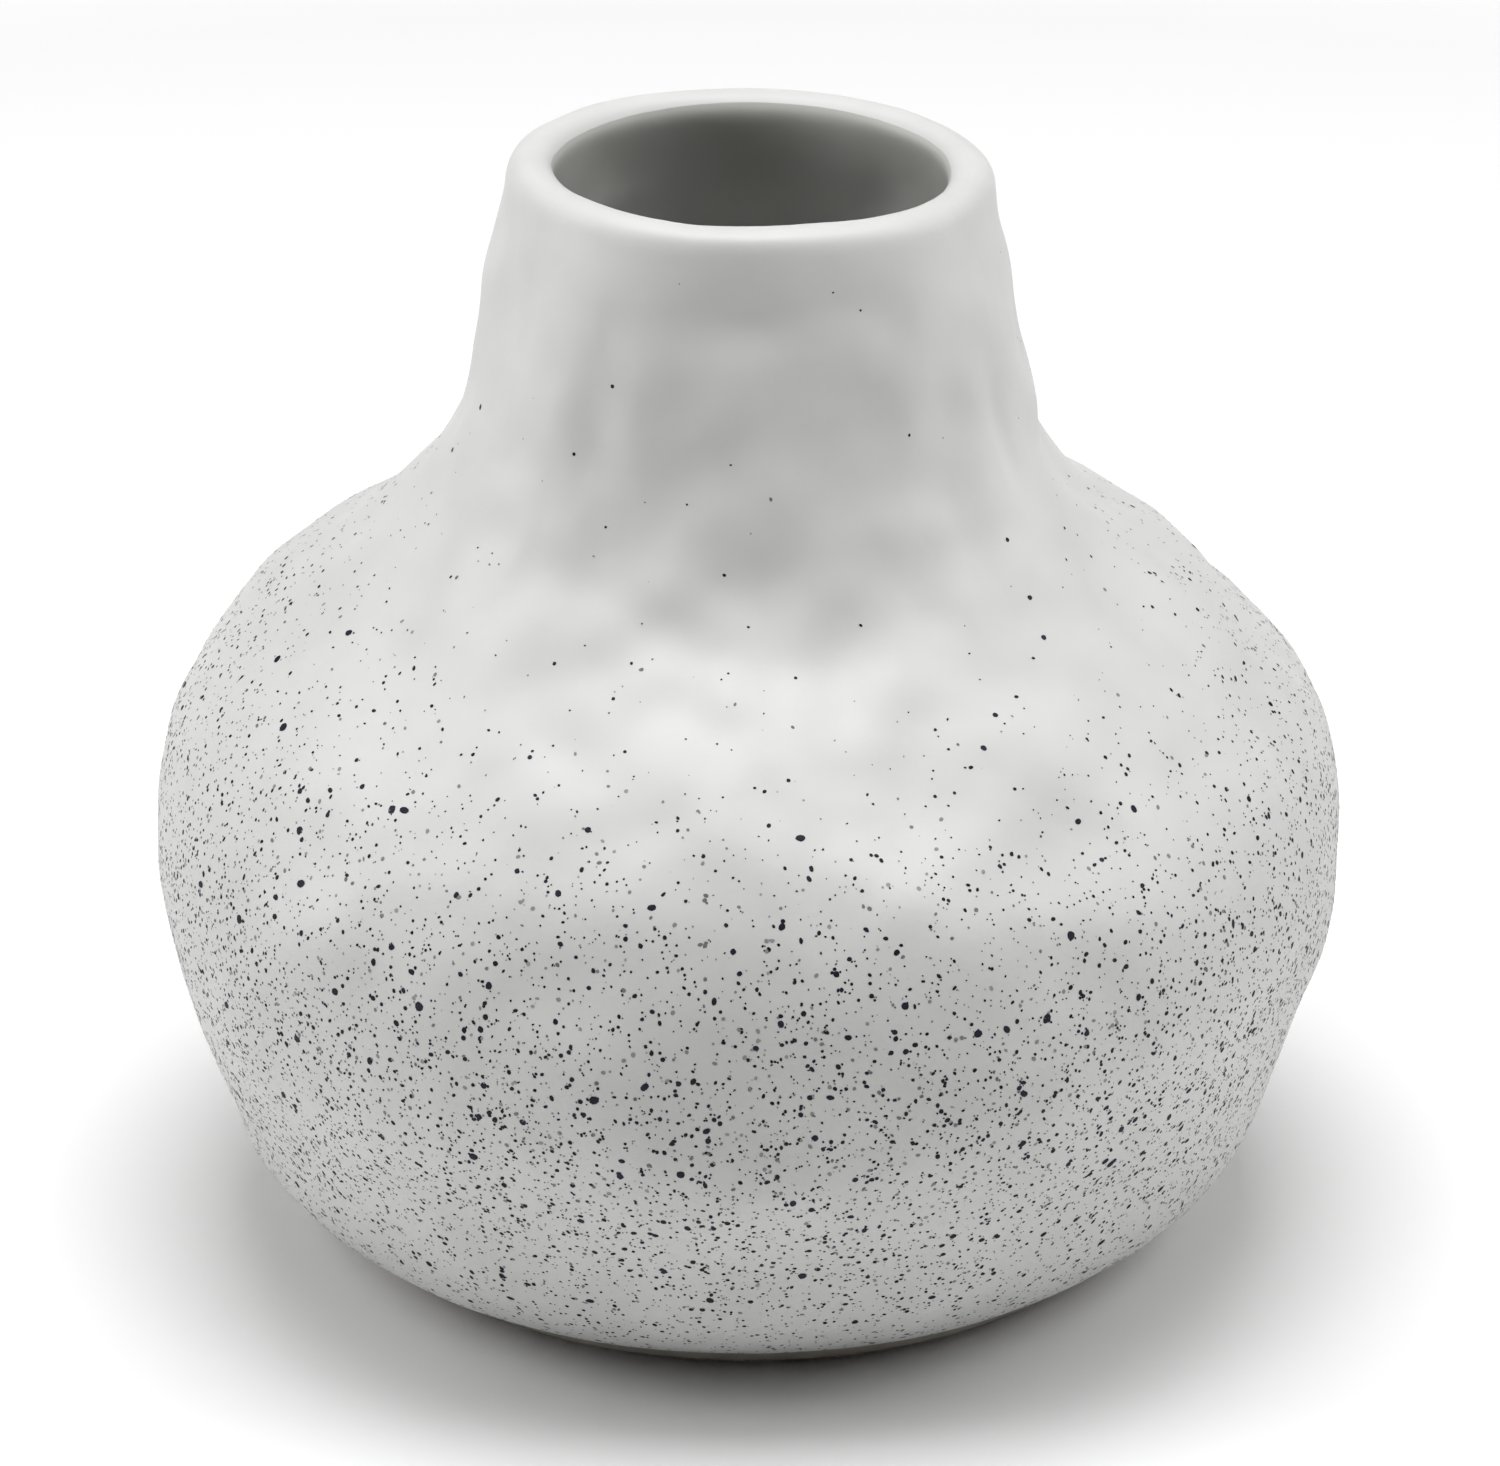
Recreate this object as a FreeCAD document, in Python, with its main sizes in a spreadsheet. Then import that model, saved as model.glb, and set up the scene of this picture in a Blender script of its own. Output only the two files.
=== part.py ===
"""Ceramic bud vase with a pinched, lopsided form, as a parametric FreeCAD document in millimetres.

+Z is up, -Y is the front and +X is to the right. The origin is under the middle of the vase, on the
surface that its foot pads stand on. A bearing is in degrees round the vase, from the front towards +X.

The clay is one thrown wall: a loft for the outside, a second loft that hollows it, a rounded lip and a
shallow recess that leaves a foot ring. The two glaze coats are what a slightly fatter vessel has beyond
the clay, split inside the mouth. Four felt pads are stuck under the bare foot ring.
"""

import FreeCAD, Part
import Sketcher
import math
import os
from FreeCAD import Placement, Rotation, Vector

PARTS_FOLDER = "parts"
FRONT_TO_BACK = Vector(0, 1, 0)

# Millimetres and degrees. Heights are above the foot ring.
DIMENSIONS = {
    "clay_wall": 4.4,
    "glaze_coat": 0.3,
    "mouth_lean": 1.2,
    "mouth_squash": 2.4,
    "neck_start": 92.0,
    "glaze_line": 1.6,
    "glaze_change": 143.2,
    "recess_radius": 38.0,
    "recess_depth": 1.0,
    "pad_radius": 4.0,
    "pad_thickness": 1.2,
    "pad_rounding": 0.3,
    "pad_circle_radius": 43.5,
}

# The outside of the clay from the foot ring to where the lip starts to turn over, as (radius, height).
OUTLINE = [
    (48.0, 0.0),
    (55.6, 2.2),
    (62.6, 7.0),
    (67.2, 13.5),
    (72.2, 25.5),
    (76.2, 40.0),
    (77.4, 51.5),
    (75.3, 66.5),
    (61.6, 84.0),
    (46.8, 95.8),
    (39.0, 107.0),
    (34.5, 122.0),
    (31.0, 142.4),
]

# Where the maker's hands moved the wall, as (bearing, height, half width, half height, push outward).
PRESSES = [
    (90, 101, 12, 8, -2.7),
    (94, 78, 36, 4.5, -2.8),
    (115, 95, 14, 5, -1.2),
    (92, 120, 22, 22, -0.5),
    (-91, 93, 13, 10, 2.4),
    (-118, 85, 18, 5, 1.8),
    (-92, 125, 22, 20, -0.9),
    (-90, 75, 28, 7, 0.8),
    (66, 28, 24, 12, -1.3),
    (42, 8, 22, 7, -0.6),
    (8, 4, 42, 6, -1.2),
    (-72, 12, 20, 7, 1.0),
    (-82, 19, 20, 4.5, -0.6),
    (0, 38, 50, 15, 2.6),
    (-36, 52, 46, 18, 2.2),
    (35, 57, 33, 16, 2.4),
    (0, 84, 50, 12, -2.0),
    (5, 102, 26, 16, -1.8),
    (-48, 113, 22, 18, 1.2),
    (58, 113, 12, 20, 1.2),
    (8, 129, 16, 9, -0.8),
    (-20, 139, 16, 12, 1.0),
    (36, 134, 14, 14, 1.4),
    (-8, 118, 12, 9, -0.5),
    (-26, 121, 7, 9, 0.8),
    (-50, 93, 16, 8, 0.9),
    (36, 76, 16, 7, -1.0),
    (180, 48, 46, 24, 1.4),
    (166, 66, 26, 14, -1.8),
    (-142, 48, 20, 13, -1.3),
    (128, 36, 22, 12, -1.2),
    (150, 108, 15, 9, -1.1),
    (-160, 92, 16, 9, 1.3),
]
PRESS_WORDS = ("bearing", "height", "half_width", "half_height", "push")

WALL_RINGS = 36
RING_CROWDING = 1.3
LIP_RINGS = 3
CREST_ANGLE = 87
RING_POINTS = 44
PAD_BEARINGS = {"front_right": 45, "back_right": 135, "back_left": 225, "front_left": 315}


def fill_sheet(doc):
    """The spreadsheet of driving dimensions, with an alias for each cell."""
    sheet = doc.addObject("Spreadsheet::Sheet", "dims")
    rows = dict(DIMENSIONS)
    for number, (radius, height) in enumerate(OUTLINE, 1):
        rows[f"outline_radius_{number}"] = radius
        rows[f"outline_height_{number}"] = height
    for number, press in enumerate(PRESSES, 1):
        for word, value in zip(PRESS_WORDS, press):
            rows[f"press_{word}_{number}"] = value
    for row, (alias, value) in enumerate(rows.items(), 1):
        sheet.set(f"A{row}", alias)
        sheet.set(f"B{row}", str(value))
        sheet.setAlias(f"B{row}", alias)
    doc.recompute()
    return sheet


class VaseForm:
    """The shape of the wall, read from the spreadsheet: a turned outline, then what hands did to it."""

    def __init__(self, sheet):
        self.half_wall = sheet.clay_wall / 2
        self.neck_start = sheet.neck_start
        self.lean = sheet.mouth_lean
        self.squash = sheet.mouth_squash
        corners = []
        for number in range(1, len(OUTLINE) + 1):
            radius = sheet.get(f"outline_radius_{number}")
            height = sheet.get(f"outline_height_{number}")
            corners.append(Vector(radius, 0, height))
        self.rim = corners[-1].z
        self.outline = Part.BSplineCurve()
        self.outline.interpolate(corners)
        self.presses = []
        for number in range(1, len(PRESSES) + 1):
            self.presses.append([sheet.get(f"press_{word}_{number}") for word in PRESS_WORDS])

    def section(self, from_middle):
        """Points up the wall's section, from_middle outward of its middle, closer together near the lip."""
        points = []
        for step in range(WALL_RINGS + 1):
            share = 1 - (1 - step / WALL_RINGS) ** RING_CROWDING
            parameter = self.outline.parameterAtDistance(self.outline.length() * share)
            along = self.outline.tangent(parameter)[0]
            outward = Vector(along.z, 0, -along.x)
            points.append(self.outline.value(parameter) + outward * (from_middle - self.half_wall))
        return points

    def section_to_crest(self, from_middle):
        """The same section, carried on round the lip to just short of its crest."""
        points = self.section(from_middle)
        along = self.outline.tangent(self.outline.LastParameter)[0]
        middle = points[-1] - Vector(along.z, 0, -along.x) * from_middle
        start = math.atan2(-along.x, along.z)
        end = math.radians(CREST_ANGLE)
        if from_middle < 0:
            start += math.pi
            end = math.pi - end
        for step in range(1, LIP_RINGS + 1):
            turn = start + (end - start) * step / LIP_RINGS
            points.append(middle + Vector(math.cos(turn), 0, math.sin(turn)) * abs(from_middle))
        return points

    def press_at(self, bearing, height, radius):
        """How far hands moved the wall outward at one place."""
        total = 0
        for at_bearing, at_height, half_width, half_height, push in self.presses:
            turn = (bearing - at_bearing + 180) % 360 - 180
            across = radius * math.radians(turn) / half_width
            above = (height - at_height) / half_height
            total += push * math.exp(-across * across - above * above)
        return total

    def neck_share(self, height):
        """From 0 below the neck to 1 at the rim, with a soft start and end."""
        share = (height - self.neck_start) / (self.rim - self.neck_start)
        share = min(max(share, 0), 1)
        return share * share * (3 - 2 * share)

    def ring_placement(self, height):
        """The mouth leans to the right, and each ring of the neck leans by its share of that."""
        return Placement(Vector(0, 0, height), Rotation(FRONT_TO_BACK, self.lean * self.neck_share(height)))

    def ring_curve(self, radius, height):
        """One closed ring of the wall in its own plane. The mouth is a little shallower than it is wide."""
        squash = self.squash * self.neck_share(height)
        points = []
        for step in range(RING_POINTS):
            bearing = 360 * step / RING_POINTS
            turn = math.radians(bearing)
            reach = radius + self.press_at(bearing, height, radius) - squash * math.cos(turn) ** 2
            points.append(Vector(reach * math.sin(turn), -reach * math.cos(turn), 0))
        curve = Part.BSplineCurve()
        steps = [step / RING_POINTS for step in range(RING_POINTS + 1)]
        curve.interpolate(Points=points, PeriodicFlag=True, Parameters=steps)
        return curve


def new_sketch(body, name, offset=Placement()):
    """A sketch of body on its own XY plane, moved by offset."""
    plane = [feature for feature in body.Origin.OriginFeatures if feature.Role == "XY_Plane"][0]
    sketch = body.newObject("Sketcher::SketchObject", name)
    sketch.AttachmentSupport = [(plane, "")]
    sketch.MapMode = "FlatFace"
    sketch.AttachmentOffset = offset
    return sketch


def circle_sketch(body, name, radius_alias):
    """A circle about the body's own axis, its radius bound to a cell of the spreadsheet."""
    sketch = new_sketch(body, name)
    circle = sketch.addGeometry(Part.Circle(Vector(0, 0, 0), Vector(0, 0, 1), 1), False)
    centre_point, whole_origin, origin_point = 3, -1, 1
    sketch.addConstraint(Sketcher.Constraint("Coincident", circle, centre_point, whole_origin, origin_point))
    radius = sketch.addConstraint(Sketcher.Constraint("Radius", circle, 1))
    sketch.setExpression(f"Constraints[{radius}]", f"dims.{radius_alias}")
    return sketch


def add_loft(body, form, kind, name, section):
    """A loft of body through one ring for each point of section, adding or hollowing by its kind."""
    rings = []
    for number, point in enumerate(section):
        sketch = new_sketch(body, f"{name}_ring_{number}", form.ring_placement(point.z))
        sketch.addGeometry(form.ring_curve(point.x, point.z), False)
        rings.append(sketch)
    body.Document.recompute()
    loft = body.newObject(kind, name)
    loft.Profile = rings[0]
    loft.Sections = [(ring, [""]) for ring in rings[1:]]
    body.Document.recompute()
    return loft


def make_vessel(doc, form, name, swell):
    """A hollow vessel with a rounded lip, its wall grown by swell on both sides of the clay's."""
    body = doc.addObject("PartDesign::Body", name)
    body.setExpression("Placement.Base.z", "dims.pad_thickness")
    half_wall = form.half_wall + swell
    outside = form.section_to_crest(half_wall)
    outside[0].z = -swell
    solid = add_loft(body, form, "PartDesign::AdditiveLoft", f"{name}_outside", outside)
    inside = form.section_to_crest(-half_wall)
    hollow = add_loft(body, form, "PartDesign::SubtractiveLoft", f"{name}_inside", inside)
    if hollow.Shape.Volume > solid.Shape.Volume / 2:
        raise RuntimeError(f"{name} is not hollow")
    return body


def make_ceramic_body(doc, form):
    """The fired clay, with a shallow recess under its floor that leaves a foot ring."""
    body = make_vessel(doc, form, "ceramic_body", 0)
    before = body.Shape.Volume
    pocket = body.newObject("PartDesign::Pocket", "foot_recess")
    pocket.Profile = circle_sketch(body, "recess_circle", "recess_radius")
    pocket.Reversed = True
    pocket.setExpression("Length", "dims.recess_depth")
    doc.recompute()
    if body.Shape.Volume >= before:
        raise RuntimeError("the foot recess cut nothing")
    return body


def make_glaze(doc, form, sheet, ceramic_body):
    """The satin coat outside and over the lip, and the lining inside, each a thin closed solid."""
    glazed = make_vessel(doc, form, "glazed_vessel", sheet.glaze_coat)
    coats = doc.addObject("Part::Cut", "both_coats")
    coats.Base = glazed
    coats.Tool = ceramic_body

    core = doc.addObject("PartDesign::Body", "wall_core")
    core.setExpression("Placement.Base.z", "dims.pad_thickness")
    middle = form.section(0)
    middle.append(Vector(middle[-1].x, 0, sheet.glaze_change))
    add_loft(core, form, "PartDesign::AdditiveLoft", "core_loft", middle)

    bare_foot = doc.addObject("Part::Cylinder", "bare_foot")
    bare_foot.setExpression("Radius", "dims.outline_radius_7")
    bare_foot.setExpression("Height", "dims.glaze_line * 2")
    bare_foot.setExpression("Placement.Base.z", "dims.pad_thickness - dims.glaze_line")

    inner = doc.addObject("Part::Common", "inner_glaze")
    inner.Base = coats
    inner.Tool = core
    over_lip = doc.addObject("Part::Cut", "coat_outside_core")
    over_lip.Base = coats
    over_lip.Tool = core
    outer = doc.addObject("Part::Cut", "outer_glaze")
    outer.Base = over_lip
    outer.Tool = bare_foot
    doc.recompute()
    return [outer, inner]


def make_foot_pad(doc, name, bearing):
    """A round felt pad under the foot ring, its lower edge slightly rounded."""
    body = doc.addObject("PartDesign::Body", name)
    body.setExpression("Placement.Base.x", f"dims.pad_circle_radius * sin({bearing} deg)")
    body.setExpression("Placement.Base.y", f"-dims.pad_circle_radius * cos({bearing} deg)")
    disc = body.newObject("PartDesign::Pad", f"{name}_disc")
    disc.Profile = circle_sketch(body, f"{name}_circle", "pad_radius")
    disc.setExpression("Length", "dims.pad_thickness")
    doc.recompute()
    middle = disc.Shape.CenterOfGravity.z
    lower_edge = [f"Edge{n}" for n, edge in enumerate(disc.Shape.Edges, 1) if edge.BoundBox.ZMax < middle]
    rounding = body.newObject("PartDesign::Fillet", f"{name}_rounding")
    rounding.Base = (disc, lower_edge)
    rounding.setExpression("Radius", "dims.pad_rounding")
    doc.recompute()
    return body


def check(doc, sub_parts):
    """Stops the script if anything failed to compute."""
    for thing in doc.Objects:
        if "Invalid" in thing.State or "Error" in thing.State:
            raise RuntimeError(f"{thing.Label} did not compute: {thing.State}")
    for sub_part in sub_parts:
        shape = sub_part.Shape
        if shape.isNull() or not shape.isValid() or len(shape.Solids) != 1:
            raise RuntimeError(f"{sub_part.Label} is not one valid solid")


def main():
    doc = FreeCAD.newDocument("bud_vase")
    sheet = fill_sheet(doc)
    form = VaseForm(sheet)
    ceramic_body = make_ceramic_body(doc, form)
    sub_parts = [ceramic_body]
    sub_parts += make_glaze(doc, form, sheet, ceramic_body)
    for place, bearing in PAD_BEARINGS.items():
        sub_parts.append(make_foot_pad(doc, f"foot_pad_{place}", bearing))
    doc.recompute()
    check(doc, sub_parts)
    os.makedirs(PARTS_FOLDER, exist_ok=True)
    for sub_part in sub_parts:
        shape = sub_part.Shape
        shape.exportStep(os.path.join(PARTS_FOLDER, f"{sub_part.Label}.step"))
        print(f"{sub_part.Label}: {shape.Volume / 1000:.2f} cm3, {shape.optimalBoundingBox()}")


main()
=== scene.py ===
"""Looks of a speckled ceramic bud vase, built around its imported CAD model. Metres, +Z up, front at -Y."""

import math
import random

import bpy
import numpy as np
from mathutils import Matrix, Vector, noise
from mathutils.bvhtree import BVHTree


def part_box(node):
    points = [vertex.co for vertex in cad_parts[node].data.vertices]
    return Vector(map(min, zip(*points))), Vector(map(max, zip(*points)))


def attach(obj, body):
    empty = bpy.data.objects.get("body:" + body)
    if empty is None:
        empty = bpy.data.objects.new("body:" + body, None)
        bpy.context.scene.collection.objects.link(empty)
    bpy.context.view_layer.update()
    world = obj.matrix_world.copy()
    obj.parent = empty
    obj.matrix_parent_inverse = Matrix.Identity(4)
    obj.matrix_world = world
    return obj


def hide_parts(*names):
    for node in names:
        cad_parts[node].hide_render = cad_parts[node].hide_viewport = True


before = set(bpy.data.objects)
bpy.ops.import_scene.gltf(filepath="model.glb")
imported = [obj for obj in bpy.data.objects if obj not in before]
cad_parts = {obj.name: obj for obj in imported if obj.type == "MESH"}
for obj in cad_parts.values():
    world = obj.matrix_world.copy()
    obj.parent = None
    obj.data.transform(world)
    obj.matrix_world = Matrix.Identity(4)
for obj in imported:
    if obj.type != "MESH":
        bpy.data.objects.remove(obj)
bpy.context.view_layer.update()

MM = 0.001

outer_low, outer_high = (Vector(corner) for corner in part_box("outer_glaze"))
inner_low, inner_high = (Vector(corner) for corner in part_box("inner_glaze"))
clay_low = Vector(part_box("ceramic_body")[0])

# ---------------------------------------------------------------- the hand-shaped surface

# How fine the grids are.
COLUMNS = 480
LINING_COLUMNS = 240
WALL_ROWS = 168
LIP_ROWS = 24
INNER_WALL_ROWS = 120
FLOOR_ROWS = 24
SECTION_STEPS = 400
SMOOTHING_PASSES = 3

# The section that every bearing's guide points are taken from, and how they stand off the glaze.
SECTION_BEARING = -45
RAY_START = 0.2
STAND_OFF = 3 * MM
INNER_STAND_OFF = 2 * MM
EDGE_MARGIN = 0.2 * MM
LIP_DROP = 0.6 * MM
FLOOR_MARGIN = 0.3 * MM
CORNER_HEIGHT = 1 * MM
FLOOR_MIDDLE_RADIUS = 1 * MM

# The lip and the coat. BEAD_SHARE and WHITE_OVER_LIP are shares of the lip's rows, and EDGE_TUCK is how
# many coat thicknesses the lower edge of the white glaze turns inward.
LIP_THICKNESS = 5 * MM
LIP_BEAD = 1.3 * MM
BEAD_SHARE = 0.32
GLAZE_COAT = 0.3 * MM
EDGE_TUCK = 1.2
WHITE_OVER_LIP = 0.89
SPLIT_ROW = WALL_ROWS + int(LIP_ROWS * WHITE_OVER_LIP)

# The hammered surface's layers, each as (height, wavelength, seed).
BROAD_LUMPS = (0.9 * MM, 15 * MM, 1)
SMALL_LUMPS = (0.36 * MM, 7.5 * MM, 2)
FINE_GRAIN = (0.02 * MM, 2.5 * MM, 3)
NOISE_SHIFT = (3.7, 5.1, 7.9)

# Where the hammering fades, in millimetres above the foot or below the crest, and how strong it is.
FOOT_FADE_START = 1
FOOT_FADE_LENGTH = 12
LIP_FADE_LENGTH = 10
LIP_LEAST = 0.3
NECK_START = 60
NECK_FADE_LENGTH = 30
BELLY_ROUGHNESS = 0.6
NECK_EXTRA_ROUGHNESS = 0.8

# Small marks of fingers in the soft clay, as (bearing, height, half width, half height, push outward):
# bearings in degrees from the front towards +X, the rest in millimetres, heights above the foot.
FINGER_MARKS = [
    (2, 133, 10, 5, -1.0),
    (35, 134, 6, 5, -0.9),
    (-40, 126, 5, 11, 0.6),
    (-33, 118, 4, 9, -0.6),
    (-15, 116, 8, 8, -0.4),
    (36, 119, 5, 6, 0.6),
    (-5, 108, 8, 6, 0.5),
    (3, 103, 8, 4, -0.5),
    (26, 107, 6, 5, 0.6),
    (-44, 106, 5, 5, 0.5),
    (60, 114, 2.5, 7, -0.8),
    (4, 96, 18, 6, -0.9),
    (-33, 97, 9, 4, 0.6),
    (-12, 92, 12, 4, 0.5),
    (18, 80, 7, 5, -0.8),
    (34, 75, 8, 4, -0.8),
    (-33, 77, 8, 5, -0.7),
    (-25, 72, 10, 4, 0.6),
    (-43, 62, 7, 5, 0.8),
    (-16, 62, 9, 5, -0.7),
    (19, 68, 9, 6, 0.9),
    (32, 60, 11, 6, -0.7),
    (0, 54, 14, 7, -0.8),
    (-14, 50, 10, 6, 0.5),
    (51, 42, 14, 8, -0.8),
    (30, 46, 10, 5, 0.6),
    (-33, 36, 10, 8, 0.7),
]


def node_tree(names):
    """A search tree over the faces of some CAD nodes."""
    vertices = []
    faces = []
    for name in names:
        first = len(vertices)
        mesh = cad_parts[name].data
        vertices += [v.co.copy() for v in mesh.vertices]
        faces += [tuple(first + corner for corner in p.vertices) for p in mesh.polygons]
    return BVHTree.FromPolygons(vertices, faces)


def direction(bearing):
    """The level direction at a bearing in degrees, from the front towards +X."""
    turn = math.radians(bearing)
    return Vector((math.sin(turn), -math.cos(turn), 0))


def wall_section(tree, bearing, low, high, rows):
    """Points (radius, height) up the outside at one bearing, evenly spaced along the wall."""
    out = direction(bearing)
    points = []
    for step in range(SECTION_STEPS + 1):
        height = low + (high - low) * step / SECTION_STEPS
        start = out * RAY_START
        start.z = height
        hit = tree.ray_cast(start, -out)[0]
        points.append((math.hypot(hit.x, hit.y), height))
    points = np.array(points)
    steps = np.hypot(*np.diff(points, axis=0).T)
    along = np.concatenate([[0], np.cumsum(steps)])
    even = np.linspace(0, along[-1], rows)
    return np.column_stack([np.interp(even, along, points[:, 0]), np.interp(even, along, points[:, 1])])


def guide_path(tree, bearing):
    """A path (radius, height) just off the glaze: up the outside, over the lip and down to the floor."""
    lip_height = outer_high.z - LIP_THICKNESS / 2 - LIP_DROP
    wall = wall_section(tree, bearing, outer_low.z + EDGE_MARGIN, lip_height, WALL_ROWS)
    slope = np.gradient(wall, axis=0)
    slope /= np.linalg.norm(slope, axis=1)[:, None]
    outside = wall + np.column_stack([slope[:, 1], -slope[:, 0]]) * STAND_OFF
    lip_middle = wall[-1] - np.array([LIP_THICKNESS / 2, 0])
    reach = LIP_THICKNESS / 2 + STAND_OFF
    turns = np.linspace(0, math.pi, LIP_ROWS + 2)[1:-1]
    lip = lip_middle + reach * np.column_stack([np.cos(turns), np.sin(turns)])
    floor_height = inner_low.z + FLOOR_MARGIN
    inside = []
    for height in np.linspace(lip_height, floor_height + CORNER_HEIGHT, INNER_WALL_ROWS):
        hit = tree.ray_cast(Vector((0, 0, height)), direction(bearing))[0]
        inside.append((math.hypot(hit.x, hit.y) - INNER_STAND_OFF, height))
    floor_radii = np.linspace(inside[-1][0], FLOOR_MIDDLE_RADIUS, FLOOR_ROWS + 1)[1:]
    floor_points = [(radius, floor_height + INNER_STAND_OFF) for radius in floor_radii]
    return np.vstack([outside, lip, inside, floor_points])


def project(tree, guide):
    """A grid of points on the CAD surface, one row for each guide point and one column for each bearing."""
    grid = np.empty((len(guide), COLUMNS, 3))
    for column in range(COLUMNS):
        out = direction(360 * column / COLUMNS)
        for row, (radius, height) in enumerate(guide):
            near = tree.find_nearest(Vector((out.x * radius, out.y * radius, height)))[0]
            grid[row, column] = near
    return grid


def smooth_grid(grid, passes):
    """Evens out the small facets of the CAD mesh, keeping the first and last rows."""
    for _ in range(passes):
        sides = (np.roll(grid, 1, axis=1) + np.roll(grid, -1, axis=1)) / 2
        grid = grid * 0.5 + sides * 0.5
        middle = (grid[:-2] + grid[2:]) / 2
        grid[1:-1] = grid[1:-1] * 0.5 + middle * 0.5
    return grid


def grid_normals(grid):
    """The outward normal at each grid point."""
    along = np.gradient(grid, axis=0)
    around = (np.roll(grid, -1, axis=1) - np.roll(grid, 1, axis=1)) / 2
    normals = np.cross(around, along)
    return normals / np.linalg.norm(normals, axis=2)[:, :, None]


def noise_grid(grid, wavelength, seed):
    """Smooth noise from about -1 to 1 at each grid point, with lumps of about one wavelength."""
    shift = Vector([seed * part for part in NOISE_SHIFT])
    values = [noise.noise(Vector(point) / wavelength + shift) for point in grid.reshape(-1, 3)]
    return np.array(values).reshape(grid.shape[:2])


def finger_marks(grid):
    """How far the small marks push the surface outward at each grid point."""
    bearings = np.degrees(np.arctan2(grid[:, :, 0], -grid[:, :, 1]))
    radii = np.hypot(grid[:, :, 0], grid[:, :, 1]) / MM
    heights = (grid[:, :, 2] - clay_low.z) / MM
    total = np.zeros(grid.shape[:2])
    for bearing, height, half_width, half_height, push in FINGER_MARKS:
        turn = (bearings - bearing + 180) % 360 - 180
        across = radii * np.radians(turn) / half_width
        above = (heights - height) / half_height
        total += push * MM * np.exp(-across**2 - above**2)
    return total


def lumps(grid, height, wavelength, seed):
    """One layer of the hammered surface at each grid point."""
    return height * noise_grid(grid, wavelength, seed)


def shape_by_hand(grid):
    """Adds the finger marks, the slightly hammered surface and a bead inside the lip."""
    heights = (grid[:, :, 2] - clay_low.z) / MM
    calm_foot = np.clip((heights - FOOT_FADE_START) / FOOT_FADE_LENGTH, 0, 1)
    crest = (outer_high.z - clay_low.z) / MM
    calm_lip = np.clip((crest - heights) / LIP_FADE_LENGTH, LIP_LEAST, 1)
    neck_share = np.clip((heights - NECK_START) / NECK_FADE_LENGTH, 0, 1)
    rough_neck = BELLY_ROUGHNESS + NECK_EXTRA_ROUGHNESS * neck_share
    outside = np.arange(len(grid))[:, None] < SPLIT_ROW
    push = finger_marks(grid) * outside
    push += lumps(grid, *BROAD_LUMPS) * rough_neck
    push += lumps(grid, *SMALL_LUMPS) * rough_neck
    push += lumps(grid, *FINE_GRAIN)
    push *= calm_foot * calm_lip
    from_throat = np.arange(len(grid))[:, None] - (WALL_ROWS + LIP_ROWS)
    push += LIP_BEAD * np.exp(-((from_throat / (LIP_ROWS * BEAD_SHARE)) ** 2))
    return grid + grid_normals(grid) * push[:, :, None]


def ring_faces(rows, columns):
    """The faces of a grid that closes on itself round the vase."""
    faces = []
    for row in range(rows - 1):
        for column in range(columns):
            after = (column + 1) % columns
            here, above = row * columns, (row + 1) * columns
            faces.append((here + column, here + after, above + after, above + column))
    return faces


def mesh_piece(name, vertices, faces):
    """A smooth mesh object in the scene."""
    mesh = bpy.data.meshes.new(name)
    mesh.from_pydata(vertices, [], faces)
    mesh.shade_smooth()
    piece = bpy.data.objects.new(name, mesh)
    bpy.context.scene.collection.objects.link(piece)
    return piece


def grid_mesh(name, grid, cap_first=False, cap_last=False):
    """A mesh object of a grid round the vase, with its first or last row closed by a fan if asked."""
    rows, columns = grid.shape[:2]
    vertices = [tuple(point) for point in grid.reshape(-1, 3)]
    faces = ring_faces(rows, columns)
    if cap_first:
        vertices.append(tuple(grid[0].mean(axis=0)))
        for column in range(columns):
            faces.append((len(vertices) - 1, (column + 1) % columns, column))
    if cap_last:
        vertices.append(tuple(grid[-1].mean(axis=0)))
        start = (rows - 1) * columns
        for column in range(columns):
            faces.append((len(vertices) - 1, start + column, start + (column + 1) % columns))
    return mesh_piece(name, vertices, faces)


glaze_tree = node_tree(["outer_glaze", "inner_glaze"])
guide = guide_path(glaze_tree, SECTION_BEARING)
glaze_grid = smooth_grid(project(glaze_tree, guide), SMOOTHING_PASSES)
glaze_grid = shape_by_hand(glaze_grid)
glaze_normals = grid_normals(glaze_grid)
outer_grid = glaze_grid[: SPLIT_ROW + 1]
outer_normals = glaze_normals[: SPLIT_ROW + 1]
turned_edge = outer_grid[:1] - outer_normals[:1] * GLAZE_COAT * EDGE_TUCK
glaze_outside = grid_mesh("glaze_outside", np.concatenate([turned_edge, outer_grid]))

# ---------------------------------------------------------------- the lining

THROWING_PITCH = 5 * MM
THROWING_DEPTH = 0.12 * MM
THROWING_START = 8 * MM
THROWING_FADE = 10 * MM
SKIPPED = COLUMNS // LINING_COLUMNS


def throwing_rings(grid, normals):
    """The lining with the faint spiral that throwing leaves, from a little below the mouth to the floor."""
    spiral = grid[:, :, 2] / THROWING_PITCH + np.linspace(0, 1, grid.shape[1], endpoint=False)
    below_throat = np.clip((inner_high.z - THROWING_START - grid[:, :, 2]) / THROWING_FADE, 0, 1)
    ridges = THROWING_DEPTH * np.sin(2 * math.pi * spiral) * below_throat
    return grid + normals * ridges[:, :, None]


lining_normals = glaze_normals[SPLIT_ROW:, ::SKIPPED]
lining_grid = throwing_rings(glaze_grid[SPLIT_ROW:, ::SKIPPED], lining_normals)
lining = grid_mesh("glaze_lining", lining_grid, cap_last=True)

# ---------------------------------------------------------------- the clay between the coats

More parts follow.
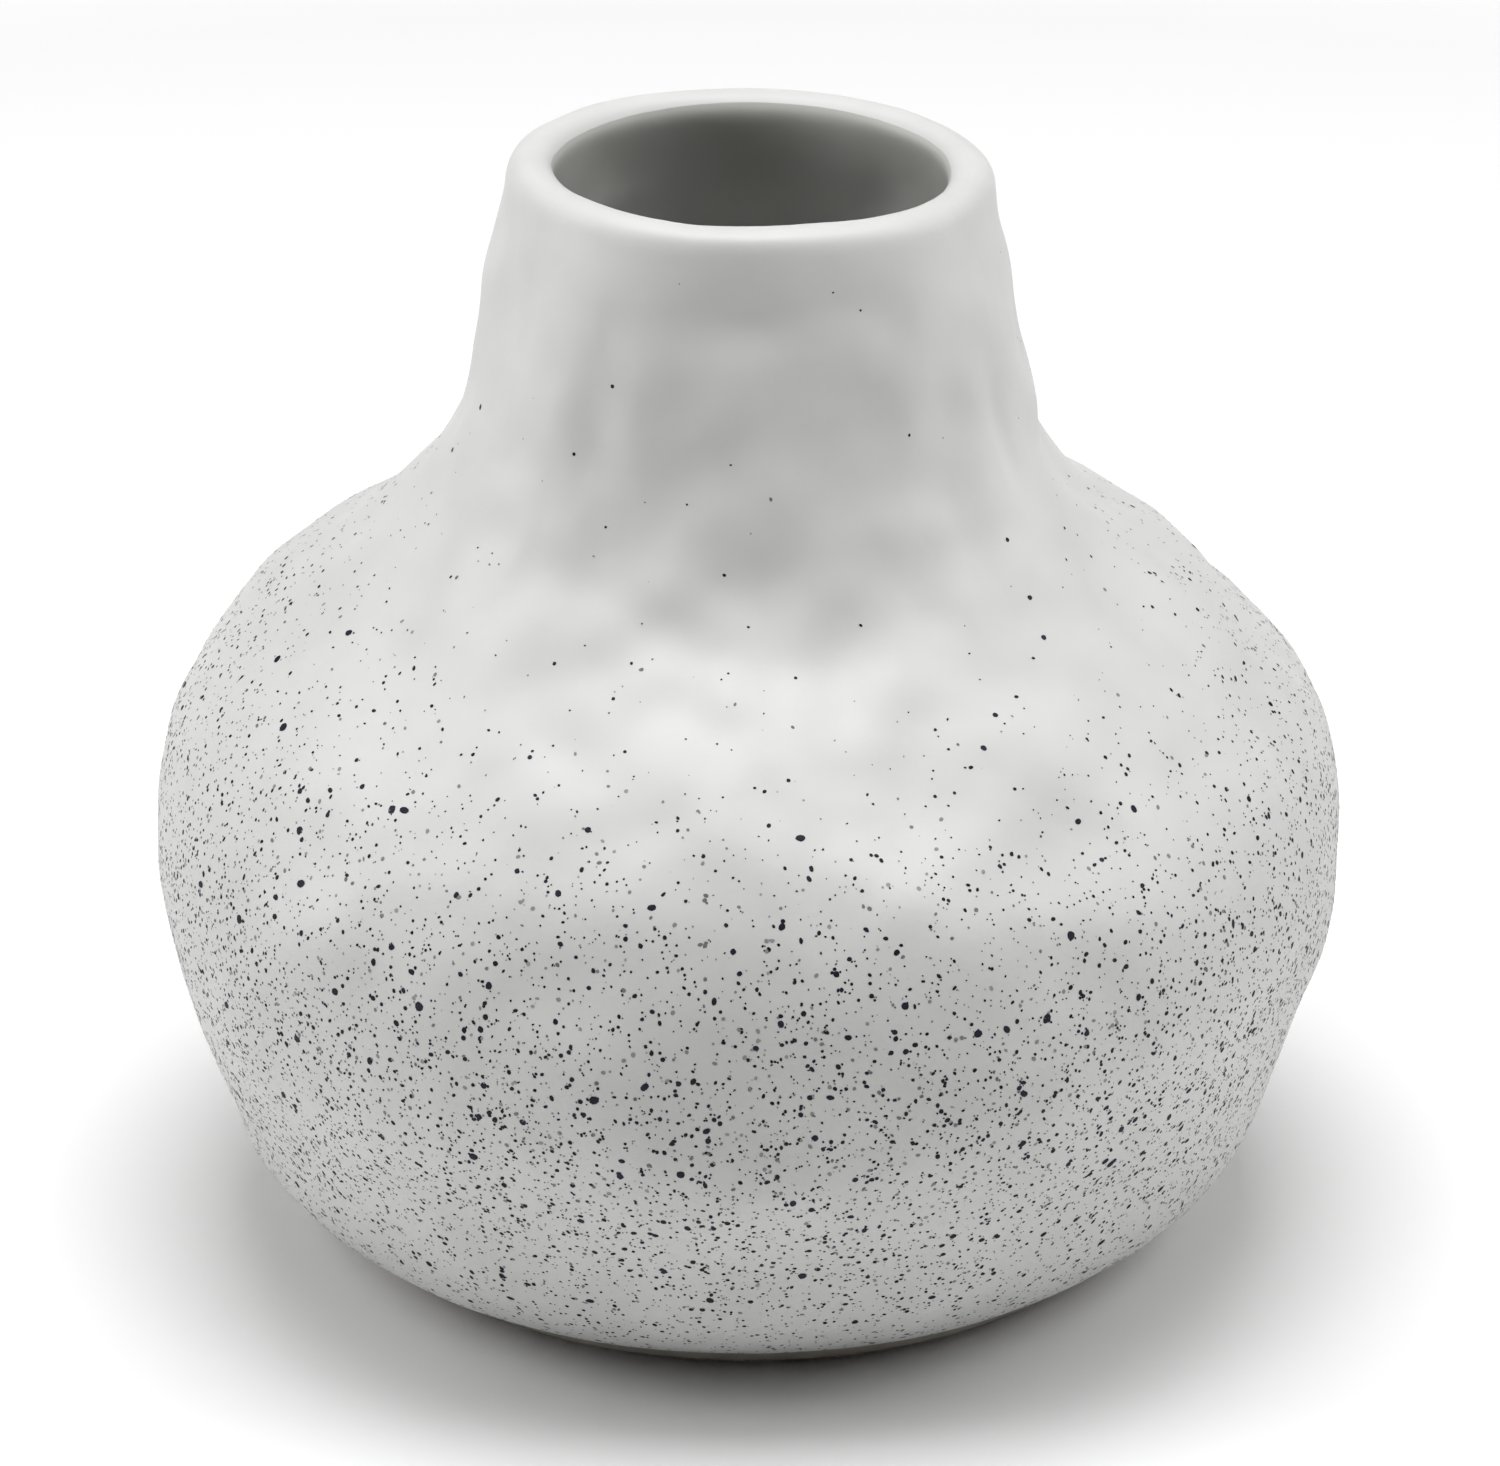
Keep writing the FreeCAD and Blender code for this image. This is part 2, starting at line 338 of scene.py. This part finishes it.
FOOT_RECESS_RADIUS = 38 * MM
FOOT_RECESS_DEPTH = 1 * MM
STEP_ROUNDING = 0.3 * MM
RECESS_RADII = [radius * MM for radius in (4, 12, 20, 28, 35)]
FOOT_RING_RADII = [radius * MM for radius in (40, 43, 46)]
BARE_BAND_SHARES = (0.0, 0.25, 0.6)
BARE_BAND_INSET = 1.6 * MM


def foot_rings():
    """Rings (radius, height) under the foot: the recess from its middle out, its step and the foot ring."""
    low = clay_low.z
    recess = low + FOOT_RECESS_DEPTH
    rings = [(radius, recess) for radius in RECESS_RADII]
    rings.append((FOOT_RECESS_RADIUS - STEP_ROUNDING, recess))
    rings.append((FOOT_RECESS_RADIUS, recess - STEP_ROUNDING))
    rings.append((FOOT_RECESS_RADIUS, low + STEP_ROUNDING))
    rings.append((FOOT_RECESS_RADIUS + STEP_ROUNDING, low))
    rings += [(radius, low) for radius in FOOT_RING_RADII]
    return rings


def clay_grid():
    """The clay from under the foot, up beneath the outside coat, over the lip and down behind the lining."""
    columns = [direction(360 * column / LINING_COLUMNS) for column in range(LINING_COLUMNS)]
    foot = []
    for radius, height in foot_rings():
        foot.append([(out.x * radius, out.y * radius, height) for out in columns])
    under_outside = (outer_grid - outer_normals * GLAZE_COAT)[:-1, ::SKIPPED]
    behind_lining = lining_grid - lining_normals * GLAZE_COAT
    edge = under_outside[0]
    edge_radii = np.hypot(edge[:, 0], edge[:, 1])
    bare = []
    for share in BARE_BAND_SHARES:
        inward = 1 - (1 - share) * BARE_BAND_INSET / edge_radii
        height = clay_low.z + (edge[:, 2] - clay_low.z) * share
        bare.append(np.column_stack([edge[:, 0] * inward, edge[:, 1] * inward, height]))
    return np.concatenate([np.array(foot), np.array(bare), under_outside, behind_lining])


clay = grid_mesh("clay_wall", clay_grid(), cap_first=True, cap_last=True)

# ---------------------------------------------------------------- specks in the glaze

SPECKS_PER_SQUARE_MM = 1.15
DARK_SHARE = 0.72
TYPICAL_RADIUS = 0.157 * MM
LARGEST_DARK = 0.62 * MM
LARGEST_FAINT = 0.3 * MM
SIZE_SPREAD = 0.42
STRETCH_SPREAD = 0.28
SPECK_HEIGHT = 0.035 * MM
RIM_SHARE = 0.6
OUTLINE_LEAST, OUTLINE_MOST = 0.88, 1.1
FINE_OUTLINE_FROM = 0.2 * MM
FEW_SIDES, MANY_SIDES = 5, 8

# Where the specks are, in millimetres above the foot. They reach higher away from the front, and highest
# on the left.
DENSEST_HEIGHT = 41
SPREAD_ABOVE = 30
SPREAD_BELOW = 38
RISE_OFF_FRONT = 9
RISE_TO_LEFT = 3
FADE_POWER = 2.5
STRAY_CHANCE = 0.006
speck_random = random.Random(11)


def speck_chance(bearing, height):
    """How dense the specks are from 0 to 1: densest low on the belly, hardly any on the neck."""
    turn = math.radians(bearing)
    rise = RISE_OFF_FRONT * min(1 - math.cos(turn), 1) - RISE_TO_LEFT * math.sin(turn)
    spread = SPREAD_ABOVE + rise if height > DENSEST_HEIGHT else SPREAD_BELOW
    fade = math.exp(-((abs(height - DENSEST_HEIGHT) / spread) ** FADE_POWER))
    return STRAY_CHANCE + (1 - STRAY_CHANCE) * fade


def row_areas():
    """The area of each ring of the outside, in square millimetres."""
    along = np.linalg.norm(np.diff(outer_grid, axis=0), axis=2)
    around = np.linalg.norm(np.roll(outer_grid, -1, axis=1) - outer_grid, axis=2)[:-1]
    return (along * around).sum(axis=1) / MM**2


def speck_places():
    """Random places on the outside as grid row and column, more where specks are dense."""
    areas = row_areas()[: WALL_ROWS - 1]
    rows = range(len(areas))
    tries = int(areas.sum() * SPECKS_PER_SQUARE_MM)
    places = []
    for row in speck_random.choices(rows, weights=areas, k=tries):
        column = speck_random.uniform(0, COLUMNS)
        height = (outer_grid[row, int(column) % COLUMNS][2] - clay_low.z) / MM
        if speck_random.random() < speck_chance(360 * column / COLUMNS, height):
            places.append((row + speck_random.random(), column))
    return places


def on_grid(grid, row, column):
    """The grid's value between its points."""
    low_row, low_column = int(row), int(column) % COLUMNS
    next_column = (low_column + 1) % COLUMNS
    up, over = row - int(row), column - int(column)
    lower = grid[low_row, low_column] * (1 - over) + grid[low_row, next_column] * over
    upper = grid[low_row + 1, low_column] * (1 - over) + grid[low_row + 1, next_column] * over
    return Vector(lower * (1 - up) + upper * up)


def add_speck(vertices, faces, row, column, largest):
    """One small raised blot: a low cone fan with an uneven, sometimes stretched outline."""
    centre = on_grid(outer_grid, row, column)
    normal = on_grid(outer_normals, row, column).normalized()
    across = normal.cross(Vector((0, 0, 1))).normalized()
    upward = normal.cross(across).normalized()
    radius = min(TYPICAL_RADIUS * math.exp(speck_random.gauss(0, SIZE_SPREAD)), largest)
    stretch = 1 + abs(speck_random.gauss(0, STRETCH_SPREAD))
    turn = speck_random.uniform(0, math.pi)
    sides = FEW_SIDES if radius < FINE_OUTLINE_FROM else MANY_SIDES
    first = len(vertices)
    vertices.append(tuple(centre + normal * SPECK_HEIGHT))
    for side in range(sides):
        angle = 2 * math.pi * side / sides
        reach = radius * speck_random.uniform(OUTLINE_LEAST, OUTLINE_MOST)
        along = math.cos(angle) * reach * stretch**0.5
        aside = math.sin(angle) * reach / stretch**0.5
        east = along * math.cos(turn) - aside * math.sin(turn)
        north = along * math.sin(turn) + aside * math.cos(turn)
        rim = centre + across * east + upward * north + normal * SPECK_HEIGHT * RIM_SHARE
        vertices.append(tuple(rim))
    for side in range(sides):
        faces.append((first, first + 1 + side, first + 1 + (side + 1) % sides))


def speck_piece(name, places, largest):
    """A mesh object of all the specks at some places."""
    vertices, faces = [], []
    for row, column in places:
        add_speck(vertices, faces, row, column, largest)
    return mesh_piece(name, vertices, faces)


places = speck_places()
dark_count = int(len(places) * DARK_SHARE)
speck_random.shuffle(places)
dark_specks = speck_piece("glaze_specks_dark", places[:dark_count], LARGEST_DARK)
faint_specks = speck_piece("glaze_specks_faint", places[dark_count:], LARGEST_FAINT)

# ---------------------------------------------------------------- materials

MOTTLE_START, MOTTLE_END = 0.35, 0.65
MOTTLE_DETAIL = 3
GLOSS_SCALE = 140
FINE_DETAIL = 2
GLOSSIER, DULLER = 0.04, 0.06
BUMP_STRENGTH = 0.3
SPECK_SHINE = 0.2

# How far below its top the painted shade under the lip starts, and how far below it is darkest.
PAINTED_SHADE_START = 26 * MM
PAINTED_SHADE_END = 3 * MM


def new_material(name):
    """A node material, with its nodes, its links and its shader."""
    material = bpy.data.materials.new(name)
    material.use_nodes = True
    nodes = material.node_tree.nodes
    return material, nodes, material.node_tree.links, nodes["Principled BSDF"]


def noise_node(nodes, links, scale, detail):
    """A noise texture fixed to the object."""
    place = nodes.new("ShaderNodeTexCoord")
    texture = nodes.new("ShaderNodeTexNoise")
    texture.inputs["Scale"].default_value = scale
    texture.inputs["Detail"].default_value = detail
    links.new(place.outputs["Object"], texture.inputs["Vector"])
    return texture


def mottled_material(name, dark, light, roughness, mottle_scale, bump_scale, bump_height):
    """A material whose colour, gloss and fine relief all vary a little, each from its own noise."""
    material, nodes, links, shader = new_material(name)
    mottle = noise_node(nodes, links, mottle_scale, MOTTLE_DETAIL)
    ramp = nodes.new("ShaderNodeValToRGB")
    ramp.color_ramp.elements[0].position = MOTTLE_START
    ramp.color_ramp.elements[0].color = (*dark, 1)
    ramp.color_ramp.elements[1].position = MOTTLE_END
    ramp.color_ramp.elements[1].color = (*light, 1)
    links.new(mottle.outputs["Fac"], ramp.inputs["Fac"])
    links.new(ramp.outputs["Color"], shader.inputs["Base Color"])
    gloss = noise_node(nodes, links, GLOSS_SCALE, FINE_DETAIL)
    spread = nodes.new("ShaderNodeMapRange")
    spread.inputs["To Min"].default_value = roughness - GLOSSIER
    spread.inputs["To Max"].default_value = roughness + DULLER
    links.new(gloss.outputs["Fac"], spread.inputs["Value"])
    links.new(spread.outputs["Result"], shader.inputs["Roughness"])
    relief = noise_node(nodes, links, bump_scale, FINE_DETAIL)
    bump = nodes.new("ShaderNodeBump")
    bump.inputs["Strength"].default_value = BUMP_STRENGTH
    bump.inputs["Distance"].default_value = bump_height
    links.new(relief.outputs["Fac"], bump.inputs["Height"])
    links.new(bump.outputs["Normal"], shader.inputs["Normal"])
    return material


def paint_shade_under_lip(material, painted_shade_colour):
    """Paints shade into the lining just under the lip, where the lip overhangs it: the lining's colour
    darkens towards the lip.
    """
    nodes, links = material.node_tree.nodes, material.node_tree.links
    shader = nodes["Principled BSDF"]
    unshaded_colour = shader.inputs["Base Color"].links[0].from_socket
    place = nodes.new("ShaderNodeTexCoord")
    split = nodes.new("ShaderNodeSeparateXYZ")
    links.new(place.outputs["Object"], split.inputs["Vector"])
    # The painted shade: strongest near the lip, fading out lower down.
    shade_near_lip = nodes.new("ShaderNodeMapRange")
    shade_near_lip.inputs["From Min"].default_value = inner_high.z - PAINTED_SHADE_START
    shade_near_lip.inputs["From Max"].default_value = inner_high.z - PAINTED_SHADE_END
    links.new(split.outputs["Z"], shade_near_lip.inputs["Value"])
    mix = nodes.new("ShaderNodeMixRGB")
    links.new(shade_near_lip.outputs["Result"], mix.inputs["Fac"])
    links.new(unshaded_colour, mix.inputs["Color1"])
    mix.inputs["Color2"].default_value = (*painted_shade_colour, 1)
    links.new(mix.outputs["Color"], shader.inputs["Base Color"])


white_glaze = mottled_material(
    "satin_white_glaze", (0.585, 0.585, 0.575), (0.625, 0.625, 0.615), 0.5, 60, 900, 0.05 * MM
)
# The lining's colour is set paler than the outer white glaze as painted light, standing in for light that
# reaches down into the mouth; just under the lip it is darkened as painted shade.
grey_glaze = mottled_material(
    "lining_glaze_painted_light_and_shade", (0.74, 0.74, 0.72), (0.79, 0.79, 0.77), 0.5, 45, 700, 0.05 * MM
)
# Painted shade just under the lip, where the lip overhangs the lining.
paint_shade_under_lip(grey_glaze, (0.52, 0.52, 0.50))
bare_clay = mottled_material(
    "bare_stoneware", (0.36, 0.33, 0.29), (0.46, 0.43, 0.38), 0.85, 220, 2500, 0.1 * MM
)
dark_blots = mottled_material(
    "iron_specks", (0.006, 0.007, 0.015), (0.02, 0.02, 0.035), 0.6, 400, 900, 0.02 * MM
)
faint_blots = mottled_material(
    "sunken_specks", (0.14, 0.14, 0.15), (0.32, 0.32, 0.32), 0.6, 300, 900, 0.02 * MM
)
felt = mottled_material(
    "grey_felt", (0.10, 0.10, 0.10), (0.22, 0.22, 0.21), 0.95, 1500, 3500, 0.3 * MM
)
for material in (dark_blots, faint_blots):
    material.node_tree.nodes["Principled BSDF"].inputs["Specular IOR Level"].default_value = SPECK_SHINE

FINISHES = [
    (glaze_outside, white_glaze, "white_glaze", "outer_glaze"),
    (lining, grey_glaze, "grey_glaze", "inner_glaze"),
    (clay, bare_clay, "clay", "ceramic_body"),
    (dark_specks, dark_blots, "white_glaze", None),
    (faint_specks, faint_blots, "white_glaze", None),
]
for piece, material, slot, node in FINISHES:
    piece.data.materials.append(material)
    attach(piece, "root")
    if node:
        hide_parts(node)

for name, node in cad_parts.items():
    if name.startswith("foot_pad"):
        node.data.materials.clear()
        node.data.materials.append(felt)

# ---------------------------------------------------------------- floor, light and camera

FLOOR_REACH = 3.0
LAMPLIT_RADIUS = 0.5
WHITE_RADIUS = 1.3


def floor_material():
    """A pale matt floor that stays white far from the vase, beyond the reach of the lamps."""
    material, nodes, links, shader = new_material("pale_floor")
    shader.inputs["Base Color"].default_value = (0.9, 0.9, 0.9, 1)
    shader.inputs["Roughness"].default_value = 0.9
    shader.inputs["Emission Color"].default_value = (1, 1, 1, 1)
    place = nodes.new("ShaderNodeTexCoord")
    distance = nodes.new("ShaderNodeVectorMath")
    distance.operation = "LENGTH"
    links.new(place.outputs["Object"], distance.inputs[0])
    far = nodes.new("ShaderNodeMapRange")
    far.inputs["From Min"].default_value = LAMPLIT_RADIUS
    far.inputs["From Max"].default_value = WHITE_RADIUS
    links.new(distance.outputs["Value"], far.inputs["Value"])
    links.new(far.outputs["Result"], shader.inputs["Emission Strength"])
    return material


signs = [(-1, -1), (1, -1), (1, 1), (-1, 1)]
floor_corners = [(x * FLOOR_REACH, y * FLOOR_REACH, 0) for x, y in signs]
floor = mesh_piece("floor", floor_corners, [(0, 1, 2, 3)])
floor.data.materials.append(floor_material())

CENTRE = Vector((0, 0, 0.07))
LAMP_SIZE = 0.8
LAMP_DISTANCE = 1.3
LOW_LAMP_HEIGHT = 0.45

# Each softbox as (name, bearing, elevation, watts).
SOFTBOXES = [
    ("top", 0, 90, 16.2),
    ("right_high", 90, 40, 6.1),
    ("left_high", -90, 40, 6.0),
    ("left_low", -90, 0, 3.3),
    ("right_low", 90, 0, 1.8),
    ("back_low", 180, 0, 0.6),
    ("back_right_high", 135, 40, 0.3),
]


def softbox(name, bearing, elevation, power):
    """A square soft lamp turned towards the vase. Level lamps are raised off the floor."""
    lamp = bpy.data.lights.new(name, "AREA")
    lamp.shape = "SQUARE"
    lamp.size = LAMP_SIZE
    lamp.energy = power
    tilt = math.radians(elevation)
    upward = Vector((0, 0, math.sin(tilt)))
    place = CENTRE + (direction(bearing) * math.cos(tilt) + upward) * LAMP_DISTANCE
    place.z = max(place.z, LOW_LAMP_HEIGHT)
    holder = bpy.data.objects.new(name, lamp)
    holder.location = place
    holder.rotation_euler = (CENTRE - place).to_track_quat("-Z", "Y").to_euler()
    bpy.context.scene.collection.objects.link(holder)


for name, bearing, elevation, power in SOFTBOXES:
    softbox(name, bearing, elevation, power)

world = bpy.data.worlds.new("studio")
bpy.context.scene.world = world
world.use_nodes = True
backdrop = world.node_tree.nodes["Background"]
backdrop.inputs["Color"].default_value = (1, 1, 1, 1)
seen_directly = world.node_tree.nodes.new("ShaderNodeLightPath")
world.node_tree.links.new(seen_directly.outputs["Is Camera Ray"], backdrop.inputs["Strength"])

CAMERA_DISTANCE = 0.9
CAMERA_ELEVATION = 24.2
LOOK_AT = Vector((0, 0, 0.0656))
SENSOR_WIDTH = 36
LENS = 164.2
elevation = math.radians(CAMERA_ELEVATION)
camera_data = bpy.data.cameras.new("camera")
camera_data.sensor_width = SENSOR_WIDTH
camera_data.lens = LENS
camera_data.dof.use_dof = False
camera = bpy.data.objects.new("camera", camera_data)
camera.location = LOOK_AT + CAMERA_DISTANCE * Vector((0, -math.cos(elevation), math.sin(elevation)))
camera.rotation_euler = (LOOK_AT - camera.location).to_track_quat("-Z", "Y").to_euler()
bpy.context.scene.collection.objects.link(camera)
bpy.context.scene.camera = camera
bpy.context.scene.view_settings.view_transform = "Standard"
